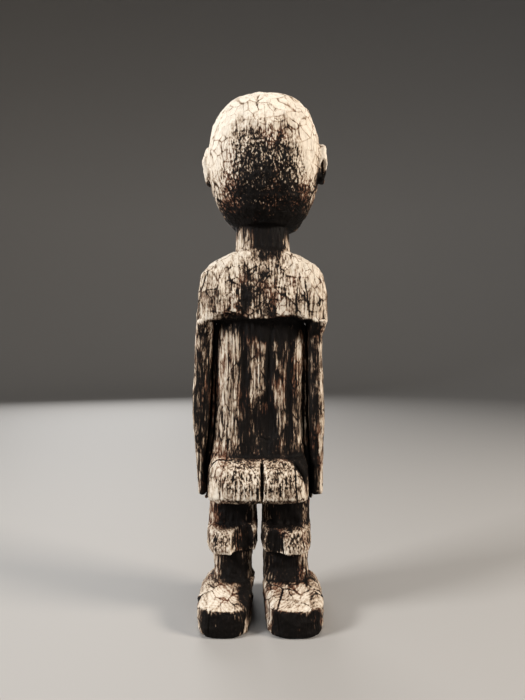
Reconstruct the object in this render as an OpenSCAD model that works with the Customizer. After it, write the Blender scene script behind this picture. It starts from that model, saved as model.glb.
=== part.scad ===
// Standing ancestor figure, carved in the round from one billet of wood.
// It faces +Y, so its own left side is at -X. The soles stand on z = 0, and the
// origin is under the middle of the figure. All sizes are in millimetres.
//
// Every region of the carving is a loft through level rings. A ring is written
//   [height, middle_x, back_y, front_y, half_width, corner]
// where corner is 1 for an ellipse and falls towards 0.3 for a squarer outline.
// Neighbouring regions meet on flat level faces, or on the cleft between the legs.

/* [Heights, from the ground up] */
// Foot, from the sole to where the ankle starts
foot_h = 22; // [19:0.5:26]
// Ankle, from the foot to the ledge under the calf
ankle_h = 17; // [13:0.5:22]
// Calf, from its ledge to the knee
calf_h = 15; // [11:0.5:20]
// Thigh, from the knee to the ledge under the buttock
thigh_h = 14.5; // [11:0.5:22]
// Haunch, from the buttock's ledge to the waist
haunch_h = 24; // [20:0.5:32]
// Trunk, from the waist to the ledge under the shoulder blades
trunk_h = 77; // [60:1:95]
// Shoulder block, from its ledge to the root of the neck
shoulder_h = 38.5; // [32:0.5:46]
// Neck, from its root to the underside of the head
neck_h = 15; // [10:0.5:22]
// Head, from its underside to the crown
head_h = 77; // [66:1:90]

/* [Head] */
// Width of the skull without the ears
head_w = 64.5; // [54:0.5:68]
// Skull behind the neck's axis
skull_back = 31; // [27:0.5:35]
// Face in front of the neck's axis
face_front = 27; // [23:0.5:29]
// Turn of the head towards its own right, in degrees
head_turn = 5; // [0:1:12]
// Sideways shift of the head towards the figure's own right
head_shift = 1.2; // [0:0.2:3]
// How far an ear stands out from the skull
ear_out = 3.5; // [2.5:0.5:7]
// Height of an ear
ear_h = 26; // [20:1:30]
// How far the nose stands out from the face
nose_out = 6; // [3:0.5:8]
// Distance between the middles of the eyes
eye_gap = 23; // [18:1:28]

/* [Neck and trunk] */
// Width of the neck
neck_w = 31; // [26:0.5:36]
// Width across the shoulders
shoulder_w = 75; // [70:1:80]
// Depth of the shoulder block, back to chest
shoulder_d = 37; // [33:1:42]
// How far the shoulder blades stand out over the back
blade_ledge = 5.5; // [3:0.5:8]
// Width of the trunk below the shoulders
trunk_w = 51; // [47:0.5:52]
// How far the belly swells in front of the chest
belly_out = 5; // [2:0.5:8]
// Sideways shift of the hips towards the figure's left
hip_shift = 2.4; // [1:0.2:3]
// Width across the hips
hip_w = 57; // [53:0.5:58]
// How far the buttocks stand out behind the waist
buttock_out = 11; // [6:0.5:14]

/* [Arms] */
// Gap between an upper arm and the trunk
arm_gap = 1; // [0.6:0.1:2]
// Thickness of the left hand, across the figure
left_hand_t = 5.2; // [4:0.2:5.6]
// Thickness of the right hand, across the figure
right_hand_t = 7.6; // [6:0.2:7.8]
// Depth of the upper arm, back to front
arm_d = 21; // [16:0.5:25]
// Depth of the hand, back to front
hand_d = 18; // [14:0.5:22]
// How far the left elbow stands out past the shoulder
left_elbow_out = 3; // [1:0.2:4]
// How far the right elbow is drawn in from the shoulder
right_elbow_in = 2; // [0:0.2:2.4]
// Height of the elbows above the ground
elbow_z = 117; // [112:1:124]
// Height of the wrists above the ground
wrist_z = 90; // [84:1:98]
// Height of the fingertips above the ground
fingertip_z = 69.5; // [66:0.5:76]

/* [Legs and feet] */
// Width of each leg at the knee
leg_w = 27.8; // [26:0.2:28.4]
// Gap between the legs, all of it on the left of the cleft
leg_gap = 3; // [2:0.1:3.6]
// How far the left ankle is cut in below the calf on each side
left_ankle_in = 2.8; // [1:0.2:4]
// How far the right ankle is cut in below the calf on each side
right_ankle_in = 0.8; // [0.4:0.2:4]
// How far the calf swells behind the ankle
calf_out = 10; // [5:0.5:12]
// How far the knee stands forward of the ankle
knee_out = 8; // [4:0.5:12]
// Length of a foot, heel to toes
foot_l = 66; // [58:1:72]
// Width of the left foot
left_foot_w = 30; // [27:0.5:31]
// Width of the right foot
right_foot_w = 33; // [28:0.5:35]
// Height of the heel's upright back
heel_h = 14; // [10:0.5:16]

/* [Hidden] */

// Points around each ring
sides = 28;

// Levels at which the regions meet
ankle_z = foot_h;
calf_z = ankle_z + ankle_h;
knee_z = calf_z + calf_h;
thigh_z = knee_z + thigh_h;
waist_z = thigh_z + haunch_h;
blade_z = waist_z + trunk_h;
neck_z = blade_z + shoulder_h;
chin_z = neck_z + neck_h;
widest_z = chin_z + head_h * 0.5;

// The neck's axis stands a little off the middle of the outline, because the
// left elbow reaches further out than the right shoulder
axis_x = left_elbow_out / 2;
axis_y = -1;
hip_x = axis_x - hip_shift;
cleft_x = axis_x - 0.3;

// Back and chest
back_y = -shoulder_d / 2 - 1;
chest_y = shoulder_d / 2 - 1;
spine_y = back_y + blade_ledge;
hip_back_y = spine_y - 1 - buttock_out;

// Shoulder edges, which the arms hang from
left_edge = axis_x - shoulder_w / 2;
right_edge = axis_x + shoulder_w / 2;

wood_pale = "#b79f80";
wood = "#98805f";
wood_dark = "#6e5a44";

function bend(c, corner) = sign(c) * pow(abs(c), corner);

// One ring of points, all the way round or over a half turn from angle start
function ring(s, start, sweep) = [
    for (i = [0 : sides - 1])
        let (a = start + sweep * i / (sweep < 360 ? sides - 1 : sides))
            [
                s[1] + s[4] * bend(cos(a), s[5]),
                (s[2] + s[3]) / 2 + (s[3] - s[2]) / 2 * bend(sin(a), s[5]),
                s[0]
            ]
];

// Closed solid through a stack of rings, listed from the bottom up
module loft(rings, start = 0, sweep = 360) {
    points = [for (s = rings) each ring(s, start, sweep)];
    top = (len(rings) - 1) * sides;
    polyhedron(
        points = points,
        faces = [
            [for (i = [0 : sides - 1]) i],
            [for (i = [sides - 1 : -1 : 0]) top + i],
            for (k = [0 : len(rings) - 2], i = [0 : sides - 1])
                let (a = k * sides + i, b = k * sides + (i + 1) % sides)
                    each [[b, a, a + sides], [b, a + sides, b + sides]]
        ],
        convexity = 4
    );
}

module on_the_neck() {
    translate([axis_x + head_shift, axis_y, 0]) rotate([0, 0, -head_turn]) children();
}

// ---- Head ----

// Rings of the skull and face about the neck's axis, by the angle up from the
// head's widest level
head_rings = [
    for (a = [-60 : 12.5 : 90])
        let (rise = a < 0 ? (widest_z - chin_z) / sin(60) : head_h * 0.5,
             round = max(cos(a), 0.1))
            [
                widest_z + rise * bend(sin(a), a < 0 ? 1 : 0.9),
                0,
                -skull_back * pow(round, a < 0 ? 0.95 : 0.85),
                face_front * pow(round, a < 0 ? 0.3 : 0.8),
                head_w / 2 * pow(round, a < 0 ? 0.87 : 0.75),
                0.95
            ]
];

module head_form() {
    loft(head_rings);
}

module head() {
    color(wood) on_the_neck() head_form();
}

// Upright slab with round ends, wider at the top and leaning back: the outline of
// an ear, drawn in by margin and reaching out to x = reach
module ear_slab(side, reach, margin) {
    hull()
        for (end = [[-2, ear_h / 2 - 7, 7], [1, 5 - ear_h / 2, 5]])
            translate([0, end[0], widest_z - 5 + end[1]])
                rotate([0, side * 90, 0])
                    cylinder(h = reach, r = end[2] - margin, $fn = 24);
}

// Side is -1 for the figure's left and 1 for its right
module ear(side) {
    rim = head_w / 2 + ear_out;
    color(wood_pale) on_the_neck() difference() {
        ear_slab(side, rim, 0);
        translate([side * (rim - 1.5), 1, 0]) ear_slab(side, 3, 2.2);
        head_form();
    }
}

module nose() {
    base_z = widest_z - 15;
    color(wood) on_the_neck() difference() {
        hull() {
            translate([0, face_front - 4, base_z + 20])
                sphere(r = 3, $fn = 20);
            for (side = [-1, 1])
                translate([side * 3.5, face_front - 1.5, base_z + 2])
                    sphere(r = 2.6, $fn = 20);
            translate([0, face_front + nose_out - 3, base_z + 3])
                sphere(r = 3, $fn = 20);
        }
        head_form();
    }
}

module mouth() {
    color(wood_dark) on_the_neck() difference() {
        hull()
            for (side = [-1, 1])
                translate([side * 6, face_front - 4, widest_z - 24])
                    sphere(r = 3.4, $fn = 20);
        head_form();
    }
}

module eye(side) {
    color(wood_pale) on_the_neck() difference() {
        hull()
            for (end = [-1, 1])
                translate([side * eye_gap / 2 + end * 3.5,
                           face_front - 5 - side * end * 1.4, widest_z - 4])
                    sphere(r = 3.4, $fn = 20);
        head_form();
    }
}

// ---- Neck, shoulders and trunk ----

module neck() {
    color(wood_dark) loft([
        [neck_z, axis_x, axis_y - 15, axis_y + 13, neck_w / 2 + 0.6, 0.75],
        [neck_z + 3, axis_x, axis_y - 13.5, axis_y + 12, neck_w / 2, 0.75],
        [chin_z, axis_x, axis_y - 13, axis_y + 11, neck_w / 2 - 0.4, 0.8]
    ]);
}

module shoulders() {
    half = shoulder_w / 2;
    color(wood_pale) loft([
        [blade_z, axis_x, back_y, chest_y, half, 0.55],
        [blade_z + 12, axis_x, back_y - 0.5, chest_y + 0.5, half - 0.2, 0.55],
        [blade_z + 20, axis_x, back_y, chest_y, half - 0.9, 0.58],
        [blade_z + 27, axis_x, back_y + 1, chest_y - 1, half - 2.6, 0.62],
        [blade_z + 32, axis_x, back_y + 2, chest_y - 2.5, half - 6.5, 0.66],
        [blade_z + 35.5, axis_x, back_y + 3, chest_y - 4, half - 13, 0.7],
        [neck_z, axis_x, axis_y - 15.5, axis_y + 13.5, neck_w / 2 + 2.5, 0.75]
    ]);
}

// Middle and half width of the trunk at a level: it widens towards the hips
function trunk_x(z) = lookup(z, [[waist_z, hip_x], [blade_z, axis_x - 1]]);
function trunk_half(z) = lookup(z, [[waist_z, trunk_w / 2 + 1.8], [blade_z, trunk_w / 2]]);

function trunk_ring(z, back, front) =
    [z, trunk_x(z), back, front, trunk_half(z), 0.62];

module trunk() {
    color(wood) loft([
        trunk_ring(waist_z, spine_y - 1, chest_y),
        trunk_ring(waist_z + 12, spine_y, chest_y + belly_out * 0.7),
        trunk_ring(waist_z + 26, spine_y + 0.5, chest_y + belly_out),
        trunk_ring(waist_z + 44, spine_y + 0.5, chest_y + belly_out * 0.3),
        trunk_ring(blade_z - 14, spine_y, chest_y - 2),
        trunk_ring(blade_z, spine_y - 0.5, chest_y - 1)
    ]);
}

// ---- Arms ----

// An upper arm runs straight from the armpit to the elbow
armpit_z = blade_z - 9;

function hand_t(side) = side < 0 ? left_hand_t : right_hand_t;

// Outer edge of an arm at a level between the shoulder and the fingertips
function arm_edge(side, z) =
    side < 0
        ? lookup(z, [[fingertip_z, left_edge + 0.6], [elbow_z, left_edge - left_elbow_out],
                     [armpit_z, left_edge - 1], [blade_z, left_edge]])
        : lookup(z, [[fingertip_z, right_edge - 2.6], [elbow_z, right_edge - right_elbow_in],
                     [armpit_z, right_edge - 3.2], [blade_z, right_edge - 0.3]]);

// Thickness of an upper arm at a level, which leaves the gap beside the trunk
function arm_t(side, z) =
    side * (arm_edge(side, z) - trunk_x(z)) - trunk_half(z) - arm_gap;

// One ring of an arm, from its outer edge inwards
function arm_ring(side, z, thick, back, front, corner) =
    [z, arm_edge(side, z) - side * thick / 2, back, front, thick / 2, corner];

function elbow_ring(side) =
    arm_ring(side, elbow_z, arm_t(side, elbow_z), -arm_d / 2 - 1, arm_d / 2 - 2, 0.7);

function wrist_ring(side) =
    arm_ring(side, wrist_z, hand_t(side) + 0.5, -hand_d / 2, hand_d / 2 - 2, 0.7);

// The right arm's top is level with the shoulder's back, and the left arm's is not
module upper_arm(side) {
    color(wood) loft([
        elbow_ring(side),
        arm_ring(side, elbow_z + 22, arm_t(side, elbow_z + 22),
                 -arm_d / 2, arm_d / 2 - 1, 0.68),
        arm_ring(side, armpit_z, arm_t(side, armpit_z),
                 -arm_d / 2 - 1.5, arm_d / 2, 0.64),
        arm_ring(side, blade_z, arm_t(side, blade_z),
                 side < 0 ? spine_y - 1.5 : back_y + 1.5, arm_d / 2 + 1, 0.58)
    ]);
}

module forearm(side) {
    mid_t = (arm_t(side, elbow_z) * 2 + hand_t(side)) / 3;
    color(wood) loft([
        wrist_ring(side),
        arm_ring(side, elbow_z - 10, mid_t, -arm_d / 2 - 0.5, arm_d / 2 - 3, 0.7),
        elbow_ring(side)
    ]);
}

module hand(side) {
    color(wood_dark) loft([
        arm_ring(side, fingertip_z, hand_t(side) - 0.8, -hand_d / 2 + 2, hand_d / 2 - 1, 0.6),
        arm_ring(side, fingertip_z + 3, hand_t(side), -hand_d / 2, hand_d / 2 + 1, 0.6),
        arm_ring(side, wrist_z - 7, hand_t(side) + 0.3, -hand_d / 2, hand_d / 2, 0.65),
        wrist_ring(side)
    ]);
}

// ---- Haunches ----

// The two haunches are one swelling, parted by the upright plane of the cleft.
// Each is a loft of half rings, whose half width runs from the cleft outwards.
module haunch(side) {
    half = hip_w / 2 + side * (hip_x - cleft_x);
    color(wood_pale) loft(
        [
            [thigh_z, cleft_x, hip_back_y + 3, chest_y + 0.5, half, 0.55],
            [thigh_z + 3, cleft_x, hip_back_y + 0.5, chest_y + 0.5, half + 0.2, 0.55],
            [thigh_z + 11, cleft_x, hip_back_y, chest_y + 0.5, half, 0.6],
            [thigh_z + 18, cleft_x, hip_back_y + 2, chest_y, half - 0.6, 0.6],
            [waist_z - 1.5, cleft_x, hip_back_y + 6, chest_y, half - 1.4, 0.6],
            [waist_z, cleft_x, spine_y - 2, chest_y, half - 1.4, 0.62]
        ],
        start = side < 0 ? 90 : -90,
        sweep = 180
    );
}

// ---- Legs and feet ----

// Middle of the leg on each side
function leg_x(side) = cleft_x + side * leg_w / 2 - (side < 0 ? leg_gap : 0);

module thigh(side) {
    x = leg_x(side);
    color(wood_dark) loft([
        [knee_z, x, -9, 10 + knee_out, leg_w / 2, 0.62],
        [knee_z + 7, x, -8.5, 8 + knee_out, leg_w / 2 - 0.2, 0.62],
        [thigh_z, x, -9.5, 13, leg_w / 2 - 0.4, 0.62]
    ]);
}

module calf(side) {
    x = leg_x(side);
    color(wood_pale) loft([
        [calf_z, x, -9 - calf_out, 12, leg_w / 2 - 0.6, 0.7],
        [calf_z + 4, x, -9.5 - calf_out, 14, leg_w / 2 + 0.3, 0.7],
        [knee_z - 3, x, -6 - calf_out, 10 + knee_out, leg_w / 2 + 0.3, 0.66],
        [knee_z, x, -9, 10 + knee_out, leg_w / 2, 0.62]
    ]);
}

module ankle(side) {
    x = leg_x(side);
    half = leg_w / 2 - (side < 0 ? left_ankle_in : right_ankle_in);
    color(wood_dark) loft([
        [ankle_z, x, -13, 10, half, 0.62],
        [ankle_z + 7, x, -10.5, 9.5, half - 0.4, 0.62],
        [calf_z, x, -9.5, 10.5, half, 0.62]
    ]);
}

module foot(side, foot_w) {
    toes = foot_l / 2;
    x = cleft_x + side * (foot_w / 2 + leg_gap * (side < 0 ? 2 : 0.5));
    ankle_x = leg_x(side);
    color(wood_pale) loft([
        [0, x, -toes + 1, toes - 1, foot_w / 2 - 1, 0.6],
        [1.5, x, -toes, toes, foot_w / 2, 0.58],
        [9, x, -toes, toes, foot_w / 2, 0.58],
        [heel_h, x, -toes + 1.2, toes - 12, foot_w / 2 - 0.3, 0.6],
        [ankle_z - 3, (x + ankle_x) / 2, -toes + 13, toes - 16, foot_w / 2 - 1, 0.62],
        [ankle_z, ankle_x, -14, 13, leg_w / 2 - 1, 0.66]
    ]);
}

head();
ear(-1);  // left_ear
ear(1);  // right_ear
nose();
mouth();
eye(-1);  // left_eye
eye(1);  // right_eye
neck();
shoulders();
trunk();
upper_arm(-1);  // left_upper_arm
upper_arm(1);  // right_upper_arm
forearm(-1);  // left_forearm
forearm(1);  // right_forearm
hand(-1);  // left_hand
hand(1);  // right_hand
haunch(-1);  // left_haunch
haunch(1);  // right_haunch
thigh(-1);  // left_thigh
thigh(1);  // right_thigh
calf(-1);  // left_calf
calf(1);  // right_calf
ankle(-1);  // left_ankle
ankle(1);  // right_ankle
foot(-1, left_foot_w);  // left_foot
foot(1, right_foot_w);  // right_foot
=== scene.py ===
"""Looks of the carved ancestor figure, which is one billet of wood cut with small blades.

The CAD nodes are joined into one distance field and softened. The details that they leave
out are carved into that field: face, ears, cleft, furrows, fingers and toes. The field
becomes one fine mesh, knife cuts, gouge lines and drying cracks mark it, and it is parted
again into one closed piece for each region. Lengths are in millimetres until a Blender
mesh is made, in the frame of the CAD: +Z up, the figure faces +Y, its left is at -X.
"""
import math

import bmesh
import bpy
import numpy as np
import openvdb as vdb
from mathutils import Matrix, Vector


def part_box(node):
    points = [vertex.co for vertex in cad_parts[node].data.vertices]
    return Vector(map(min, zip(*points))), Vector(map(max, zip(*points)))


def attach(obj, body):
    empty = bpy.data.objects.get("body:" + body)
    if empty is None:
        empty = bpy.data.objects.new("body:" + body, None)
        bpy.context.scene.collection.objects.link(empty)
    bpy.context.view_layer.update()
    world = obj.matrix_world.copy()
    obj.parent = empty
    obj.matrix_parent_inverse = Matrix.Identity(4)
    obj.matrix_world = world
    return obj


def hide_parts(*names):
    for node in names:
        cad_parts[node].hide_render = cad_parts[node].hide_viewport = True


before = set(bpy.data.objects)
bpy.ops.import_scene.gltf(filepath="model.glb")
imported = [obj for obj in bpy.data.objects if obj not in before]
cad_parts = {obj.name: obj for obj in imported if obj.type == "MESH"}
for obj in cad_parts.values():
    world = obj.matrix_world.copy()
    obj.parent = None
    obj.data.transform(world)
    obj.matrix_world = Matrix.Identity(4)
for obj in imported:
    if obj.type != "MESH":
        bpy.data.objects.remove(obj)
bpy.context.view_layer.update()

MM = 1000.0
VOXEL = 0.5
MARGIN = 5.0
# How many voxels from a surface its distance is exact
NARROW_BAND = 4
WIDE_BAND = 10

# ---- Places, from the frame ----


def box(node):
    """Lowest and highest corner of a CAD node, in millimetres."""
    low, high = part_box(node)
    return np.array(low) * MM, np.array(high) * MM


def middle(node):
    low, high = box(node)
    return (low + high) / 2


LEVEL = {name: box(name)[0][2] for name in ("head", "neck", "shoulders", "trunk")}
LEVEL.update(
    thigh=box("left_haunch")[0][2], knee=box("left_thigh")[0][2],
    calf=box("left_calf")[0][2], ankle=box("left_ankle")[0][2],
    elbow=box("left_upper_arm")[0][2], wrist=box("left_forearm")[0][2],
)
SIDES = ((-1, "left"), (1, "right"))
ARM = ("upper_arm", "forearm", "hand")
LEG = ("thigh", "calf", "ankle", "foot")
AXIS_X = middle("neck")[0]
CLEFT_X = box("right_haunch")[0][0]
HEAD_LOW, HEAD_HIGH = box("head")
HEAD_MIDDLE = (HEAD_LOW + HEAD_HIGH) / 2
HEAD_TURN = math.radians(5)
FACE_Y = HEAD_HIGH[1] - HEAD_MIDDLE[1]
EYE_Z = middle("left_eye")[2]
BACK_Y = box("trunk")[0][1]
SHOULDER_BACK_Y = box("shoulders")[0][1]
HAUNCH_BACK_Y = box("left_haunch")[0][1]

# ---- Distance fields on one grid ----

NODE_BOXES = [box(name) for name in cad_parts]
GRID_LOW = np.floor((np.min([b[0] for b in NODE_BOXES], 0) - MARGIN) / VOXEL).astype(int)
GRID_HIGH = np.ceil((np.max([b[1] for b in NODE_BOXES], 0) + MARGIN) / VOXEL).astype(int)
GRID_SHAPE = tuple(GRID_HIGH - GRID_LOW + 1)
AXES = [(GRID_LOW[k] + np.arange(GRID_SHAPE[k])) * VOXEL for k in range(3)]
SCALE = vdb.createLinearTransform(voxelSize=VOXEL)


def level_set(points, triangles, quads, band):
    """Signed distance on the whole grid, in millimetres, exact within band voxels."""
    grid = vdb.FloatGrid.createLevelSetFromPolygons(
        points.astype(np.float32), triangles=triangles.astype(np.uint32),
        quads=quads.astype(np.uint32), transform=SCALE, halfWidth=band,
    )
    values = np.full(GRID_SHAPE, band * VOXEL, np.float32)
    grid.copyToArray(values, ijk=tuple(int(i) for i in GRID_LOW))
    return values


def surface(values, level=0.0):
    """Points and quads of the surface where the field has the given value."""
    reach = 4 * VOXEL
    grid = vdb.FloatGrid(reach)
    grid.copyFromArray(
        np.clip(values, -reach, reach), ijk=tuple(int(i) for i in GRID_LOW)
    )
    grid.transform = SCALE
    points, quads = grid.convertToQuads(isovalue=level)
    return points.astype(np.float64), quads


def node_field(name):
    """Distance to one CAD node."""
    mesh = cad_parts[name].data
    mesh.calc_loop_triangles()
    points = np.zeros(len(mesh.vertices) * 3, np.float32)
    mesh.vertices.foreach_get("co", points)
    corners = np.zeros(len(mesh.loop_triangles) * 3, np.int32)
    mesh.loop_triangles.foreach_get("vertices", corners)
    no_quads = np.zeros((0, 4), np.uint32)
    return level_set(
        points.reshape(-1, 3) * MM, corners.reshape(-1, 3), no_quads, NARROW_BAND
    )


def joined_field(names):
    """Distance to the union of nodes that meet face to face. The union is taken a little
    outside the nodes, so that the faces they share leave no trace in it."""
    outside = 0.5
    union = node_field(names[0])
    for name in names[1:]:
        np.minimum(union, node_field(name), out=union)
    points, quads = surface(union, outside)
    no_triangles = np.zeros((0, 3), np.uint32)
    return level_set(points, no_triangles, quads, WIDE_BAND) + outside


def blurred(values, width):
    """Gaussian blur with a standard deviation of width voxels."""
    reach = int(math.ceil(2.2 * width))
    weights = np.exp(-0.5 * (np.arange(-reach, reach + 1) / width) ** 2)
    weights = (weights / weights.sum()).astype(np.float32)
    for axis in range(3):
        padding = [(reach, reach) if k == axis else (0, 0) for k in range(3)]
        padded = np.pad(values, padding, mode="edge")
        values = np.zeros_like(values)
        count = values.shape[axis]
        for k, weight in enumerate(weights):
            part = [slice(None)] * 3
            part[axis] = slice(k, k + count)
            values += weight * padded[tuple(part)]
    return values


def corner_weights(share):
    """Each corner of a unit cell, with its trilinear weight at places in the cell."""
    for corner in np.ndindex(2, 2, 2):
        weight = np.ones(len(share))
        for k in range(3):
            weight *= share[:, k] if corner[k] else 1 - share[:, k]
        yield corner, weight


def sampled(values, points, low, step):
    """Values at points of a grid that starts low steps from the origin."""
    place = points / step - low
    base = np.clip(np.floor(place).astype(int), 0, np.array(values.shape) - 2)
    total = np.zeros(len(points))
    for corner, weight in corner_weights(np.clip(place - base, 0, 1)):
        at = base + corner
        total += weight * values[at[:, 0], at[:, 1], at[:, 2]]
    return total


# ---- Carving tools ----


class Patch:
    """The part of the field within reach of some points, with its coordinates."""

    def __init__(self, points, reach):
        points = np.atleast_2d(points)
        low = points.min(0) - reach
        high = points.max(0) + reach
        self.part = tuple(
            slice(max(int((low[k] / VOXEL) - GRID_LOW[k]), 0),
                  int((high[k] / VOXEL) - GRID_LOW[k]) + 2)
            for k in range(3)
        )
        self.x = AXES[0][self.part[0]][:, None, None]
        self.y = AXES[1][self.part[1]][None, :, None]
        self.z = AXES[2][self.part[2]][None, None, :]


def smooth_min(a, b, soft):
    """The smaller of two distances, rounded where they differ by less than soft."""
    return np.minimum(a, b) - np.maximum(soft - np.abs(a - b), 0) ** 2 / (4 * soft)


def rod_distance(patch, points, radii):
    """Distance to a bent rod through points, with a radius at each."""
    nearest = None
    for a, b, r_a, r_b in zip(points[:-1], points[1:], radii[:-1], radii[1:]):
        along = np.subtract(b, a)
        length2 = float(along @ along)
        dx, dy, dz = patch.x - a[0], patch.y - a[1], patch.z - a[2]
        t = np.clip((dx * along[0] + dy * along[1] + dz * along[2]) / length2, 0, 1)
        gap = np.sqrt(
            (dx - t * along[0]) ** 2 + (dy - t * along[1]) ** 2 + (dz - t * along[2]) ** 2
        ) - (r_a + t * (r_b - r_a))
        nearest = gap if nearest is None else np.minimum(nearest, gap)
    return nearest


def egg_distance(patch, centre, radii, turn=0.0):
    """Near enough the distance to an ellipsoid, turned about the upright axis."""
    dx, dy = patch.x - centre[0], patch.y - centre[1]
    c, s = math.cos(turn), math.sin(turn)
    u = (dx * c + dy * s) / radii[0]
    v = (dy * c - dx * s) / radii[1]
    w = (patch.z - centre[2]) / radii[2]
    size = np.sqrt(u * u + v * v + w * w)
    steep = np.sqrt((u / radii[0]) ** 2 + (v / radii[1]) ** 2 + (w / radii[2]) ** 2)
    return size * (size - 1) / np.maximum(steep, 1e-6)


class Carving:
    """The field, with tools that add wood to it or cut wood away."""

    def __init__(self, values):
        self.values = values

    def change(self, patch, gap, soft, cut):
        """Joins the shape whose distance is gap to the field, or cuts it out."""
        here = self.values[patch.part]
        if cut:
            self.values[patch.part] = -smooth_min(-here, gap, soft)
        else:
            self.values[patch.part] = smooth_min(here, gap, soft)

    def rod(self, points, radii, soft=0.6, cut=False):
        if np.isscalar(radii):
            radii = [radii] * len(points)
        patch = Patch(points, max(radii) + soft + 1)
        self.change(patch, rod_distance(patch, points, radii), soft, cut)

    def egg(self, centre, radii, soft=2.0, turn=0.0, cut=False):
        patch = Patch(centre, max(radii) + soft + 1)
        self.change(patch, egg_distance(patch, centre, radii, turn), soft, cut)


def on_head(across, forward, height):
    """Point from the head's middle, in the head's own turned frame. Height is a real one."""
    c, s = math.cos(-HEAD_TURN), math.sin(-HEAD_TURN)
    return np.array([
        HEAD_MIDDLE[0] + across * c - forward * s,
        HEAD_MIDDLE[1] + across * s + forward * c,
        height,
    ])


def arc(start, end, steps):
    """Angles from start to end degrees, in radians."""
    return np.linspace(math.radians(start), math.radians(end), steps)


# ---- Details of the carving ----


def carve_eye(work, side):
    """Almond eye in a shallow socket, with a slit between its lids."""
    out = side * 11.5
    work.egg(on_head(out, FACE_Y + 0.5, EYE_Z + 0.5), (9.5, 7, 6.5), soft=4, cut=True,
             turn=-HEAD_TURN)
    work.egg(on_head(out, FACE_Y - 6.5, EYE_Z - 0.6), (7.4, 4.6, 3.7), soft=1.0,
             turn=-HEAD_TURN - side * 0.32)
    lids = [
        on_head(out + a * 7.0, FACE_Y - 2.0 - side * a * 2.2 - 1.4 * a * a,
                EYE_Z - 0.7 - 0.5 * (1 - a * a))
        for a in np.linspace(-1, 1, 7)
    ]
    work.rod(lids, [0.25, 0.5, 0.65, 0.7, 0.65, 0.5, 0.25], soft=0.3, cut=True)
    brow = [
        on_head(side * (3.5 + 16 * t), FACE_Y - 1.0 - 8.5 * t * t,
                EYE_Z + 6.5 + 3.2 * math.sin(math.pi * min(1, 0.2 + t * 0.9)))
        for t in np.linspace(0, 1, 7)
    ]
    work.rod(brow, [1.8, 1.9, 1.9, 1.8, 1.6, 1.3, 0.9], soft=2.2)


def carve_nose(work):
    base = EYE_Z - 12.5
    work.rod([on_head(0, FACE_Y - 2.6, EYE_Z + 8), on_head(0, FACE_Y - 0.4, EYE_Z),
              on_head(0, FACE_Y + 2.6, base + 2.5)], [2.0, 2.1, 3.2], soft=1.8)
    for side in (-1, 1):
        work.egg(on_head(side * 3.9, FACE_Y + 0.2, base + 1.2), (2.7, 3.4, 2.6), soft=1.0,
                 turn=-HEAD_TURN)
        work.egg(on_head(side * 2.4, FACE_Y + 3.2, base - 1.1), (1.2, 1.8, 1.0), soft=0.4,
                 turn=-HEAD_TURN, cut=True)


def carve_mouth(work):
    """Closed lips on a low muzzle, over a rounded chin."""
    z = EYE_Z - 20.5
    work.egg(on_head(0, FACE_Y - 6.5, z), (11, 6.5, 7.5), soft=4, turn=-HEAD_TURN)
    for height, full, bow in ((1.6, 1.5, 0.8), (-1.7, 1.8, -0.5)):
        lip = [
            on_head(a * 7.2, FACE_Y - 0.6 - 2.4 * a * a, z + (height + bow) * (1 - a * a))
            for a in np.linspace(-1, 1, 9)
        ]
        thick = [0.5, full * 0.8, full, full, full * 0.9, full, full, full * 0.8, 0.5]
        work.rod(lip, thick, soft=0.7)
    parting = [
        on_head(a * 7.6, FACE_Y + 0.9 - 3.1 * a * a, z - 0.35 * (1 - a * a))
        for a in np.linspace(-1, 1, 9)
    ]
    work.rod(parting, [0.3] + [0.6] * 7 + [0.3], soft=0.4, cut=True)
    work.rod([on_head(0, FACE_Y + 0.4, z + 3.6), on_head(0, FACE_Y + 0.2, z + 6.6)],
             0.6, soft=0.8, cut=True)
    work.egg(on_head(0, FACE_Y - 8.5, z - 9), (8.5, 7.5, 5.5), soft=4, turn=-HEAD_TURN)


def carve_cheek(work, side):
    work.egg(on_head(side * 15.5, FACE_Y - 13, EYE_Z - 11), (8, 8, 10), soft=6,
             turn=-HEAD_TURN - side * 0.5)
    jaw = [
        on_head(side * (25.5 - 19 * t), 1 + 17 * t, EYE_Z - 17 - 13 * t)
        for t in np.linspace(0, 1, 5)
    ]
    work.rod(jaw, [0.8, 2.2, 2.8, 3.0, 2.6], soft=4.5)


def carve_ear(work, side):
    """Rim bent like a C, open to the front, over a hollow and a small front flap. The right
    one stands clear of the skull behind its lower half."""
    middle_z = EYE_Z + 1.5
    reach = HEAD_HIGH[0] - HEAD_MIDDLE[0] + (1.0 if side > 0 else 0.0)
    turn = -HEAD_TURN
    work.egg(on_head(side * (reach - 0.6), -0.5, middle_z + 0.5), (3.4, 6.4, 11.0), soft=2.0,
             turn=turn)
    work.egg(on_head(side * (reach + 2.2), 0.8, middle_z), (2.6, 3.4, 6.6), soft=0.8,
             turn=turn, cut=True)
    rim = [
        on_head(side * (reach + 1.5 - 1.3 * math.sin(a) ** 2), 0.2 + 5.2 * math.cos(a),
                middle_z + 0.8 + 9.6 * math.sin(a))
        for a in arc(20, 285, 14)
    ]
    work.rod(rim, [1.2] + [1.6] * 12 + [1.8], soft=1.0)
    work.egg(on_head(side * (reach + 0.4), 4.8, middle_z - 1.5), (2.2, 1.8, 2.8), soft=1.0,
             turn=turn)
    groove_start = -0.9 if side > 0 else 0.2
    behind = [
        on_head(side * (reach + 0.6), -7.4 + 2.2 * abs(t), middle_z - 6 - 7 * t)
        for t in np.linspace(groove_start, 1, 4)
    ]
    work.rod(behind, [1.0, 2.0, 2.2, 1.2], soft=1.0, cut=True)
    work.egg(on_head(side * (reach + 6.5), -1, EYE_Z - 14), (5.5, 14, 10), soft=2,
             turn=turn, cut=True)


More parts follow.
